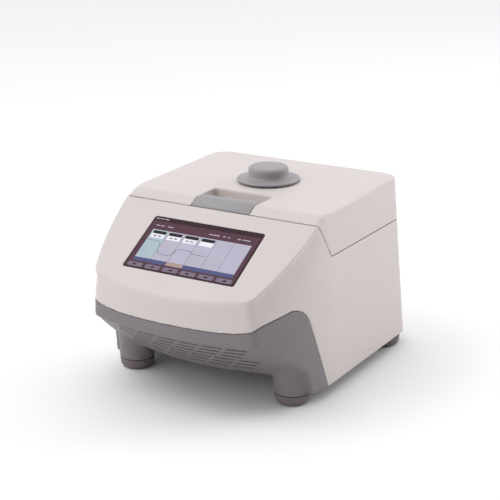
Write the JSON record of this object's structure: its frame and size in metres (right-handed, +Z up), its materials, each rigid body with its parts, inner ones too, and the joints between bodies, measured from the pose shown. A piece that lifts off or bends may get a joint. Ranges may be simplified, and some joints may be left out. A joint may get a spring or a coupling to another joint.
{
  "type": "thermal cycler",
  "caption": "Bench thermal cycler: white housing with a tilted touch screen, hinged heated lid with latch lever and pressure knob, well block, fans, and a vented grey base on rubber feet.",
  "frame": {"origin": "on the bench, under the middle of the instrument's box", "axes": "+X to the instrument's right seen from the front, +Y to the rear, +Z up"},
  "size_m": [0.2994, 0.3657, 0.249],
  "materials": {
    "housing_white": "fine-textured off-white moulding",
    "chassis_grey": "fine-textured mid grey moulding",
    "trim_grey": "smooth mid grey moulding",
    "foot_rubber": "matt grey-brown rubber",
    "screen_glass": "dark gloss touch glass",
    "display_black": "display panel",
    "panel_metal": "satin painted sheet",
    "aluminium": "machined and anodised",
    "steel": "bright zinc-plated steel",
    "brass": "machined brass",
    "black_plastic": "black glass-filled plastic",
    "gasket_silicone": "red silicone",
    "ceramic_white": "white ceramic faces",
    "heater_film": "amber film heater",
    "insulation": "felted insulation",
    "board_green": "solder-masked circuit board",
    "component_black": "moulded electronic parts",
    "fuse_glass": "glass tube with metal caps"
  },
  "bodies": {
    "base": {"base_chassis": "chassis_grey", "block_clamp_screws": "steel", "block_gasket": "gasket_silicone", "board_components": "component_black", "board_standoffs": "steel", "deck_frame": "trim_grey", "display_bracket": "steel", "display_module": "display_black", "display_screws": "steel", "fan_duct": "steel", "fan_frames": "black_plastic", "fan_guards": "steel", "fan_screws": "steel", "foot_screws": "steel", "front_feet": "foot_rubber", "heatsink": "aluminium", "heatsink_posts": "steel", "hinge_base_brackets": "steel", "hinge_pins": "steel", "latch_catches": "steel", "main_board": "board_green", "main_housing": "housing_white", "peltier_modules": "ceramic_white", "power_inlet": "black_plastic", "power_supply": "panel_metal", "rear_feet": "foot_rubber", "rear_panel": "panel_metal", "rear_panel_nuts": "steel", "sample_block": "aluminium", "screen_glass": "screen_glass", "switch_bezel": "black_plastic", "usb_port": "steel", "usb_tongue": "black_plastic"},
    "lid": {"lid_shell": "housing_white", "lid_inner_cover": "housing_white", "lid_frame": "aluminium", "lid_frame_screws": "steel", "lid_hinge_arms": "steel", "bearing_bush": "brass", "guide_bushes": "brass", "latch_pin": "steel"},
    "latch": {"latch_lever": "trim_grey"},
    "knob": {"knob": "trim_grey", "pressure_screw": "steel", "screw_retainer": "steel"},
    "heated_plate": {"heated_plate": "aluminium", "heater_film": "heater_film", "insulation_pad": "insulation", "plate_holder": "black_plastic", "travelling_nut": "brass", "guide_pins": "steel", "pressure_springs": "steel"},
    "fan_left": {"fan_rotor_left": "black_plastic"},
    "fan_right": {"fan_rotor_right": "black_plastic"},
    "rocker": {"rocker_switch": "black_plastic"},
    "fuse_drawer": {"fuse_drawer": "black_plastic", "fuses": "fuse_glass"}
  },
  "joints": [
    {"name": "lid_hinge", "type": "hinge", "parent": "base", "child": "lid", "pos_m": [0, 0.1698, 0.175], "axis": [-1, 0, 0], "range_deg": [0, 75]},
    {"name": "latch_pull", "type": "hinge", "parent": "lid", "child": "latch", "pos_m": [0, -0.05375, 0.21918], "axis": [1, 0, 0], "range_deg": [0, 20], "stiffness_Nm_per_rad": 0.12, "springref_deg": -8.59},
    {"name": "knob_turn", "type": "hinge", "parent": "lid", "child": "knob", "pos_m": [0, 0.0616, 0.23], "axis": [0, 0, 1], "range_deg": [-540, 0]},
    {"name": "plate_press", "type": "slide", "parent": "lid", "child": "heated_plate", "axis": [0, 0, 1], "range_m": [-0.0046, 0]},
    {"name": "fan_left_spin", "type": "hinge", "parent": "base", "child": "fan_left", "pos_m": [-0.043, 0.16588, 0.09295], "axis": [0, 0.997, 0.0772], "continuous": true},
    {"name": "fan_right_spin", "type": "hinge", "parent": "base", "child": "fan_right", "pos_m": [0.043, 0.16588, 0.09295], "axis": [0, 0.997, 0.0772], "continuous": true},
    {"name": "power_rocker", "type": "hinge", "parent": "base", "child": "rocker", "pos_m": [-0.098, 0.1678, 0.11215], "axis": [1, 0, 0], "range_deg": [-8, 8]},
    {"name": "fuse_drawer_slide", "type": "slide", "parent": "base", "child": "fuse_drawer", "axis": [0, 0.997, 0.0772], "range_m": [0, 0.018]}
  ],
  "couplings": [
    {"joint": "plate_press", "follows": "knob_turn", "m_per_rad": 0.00047746}
  ]
}
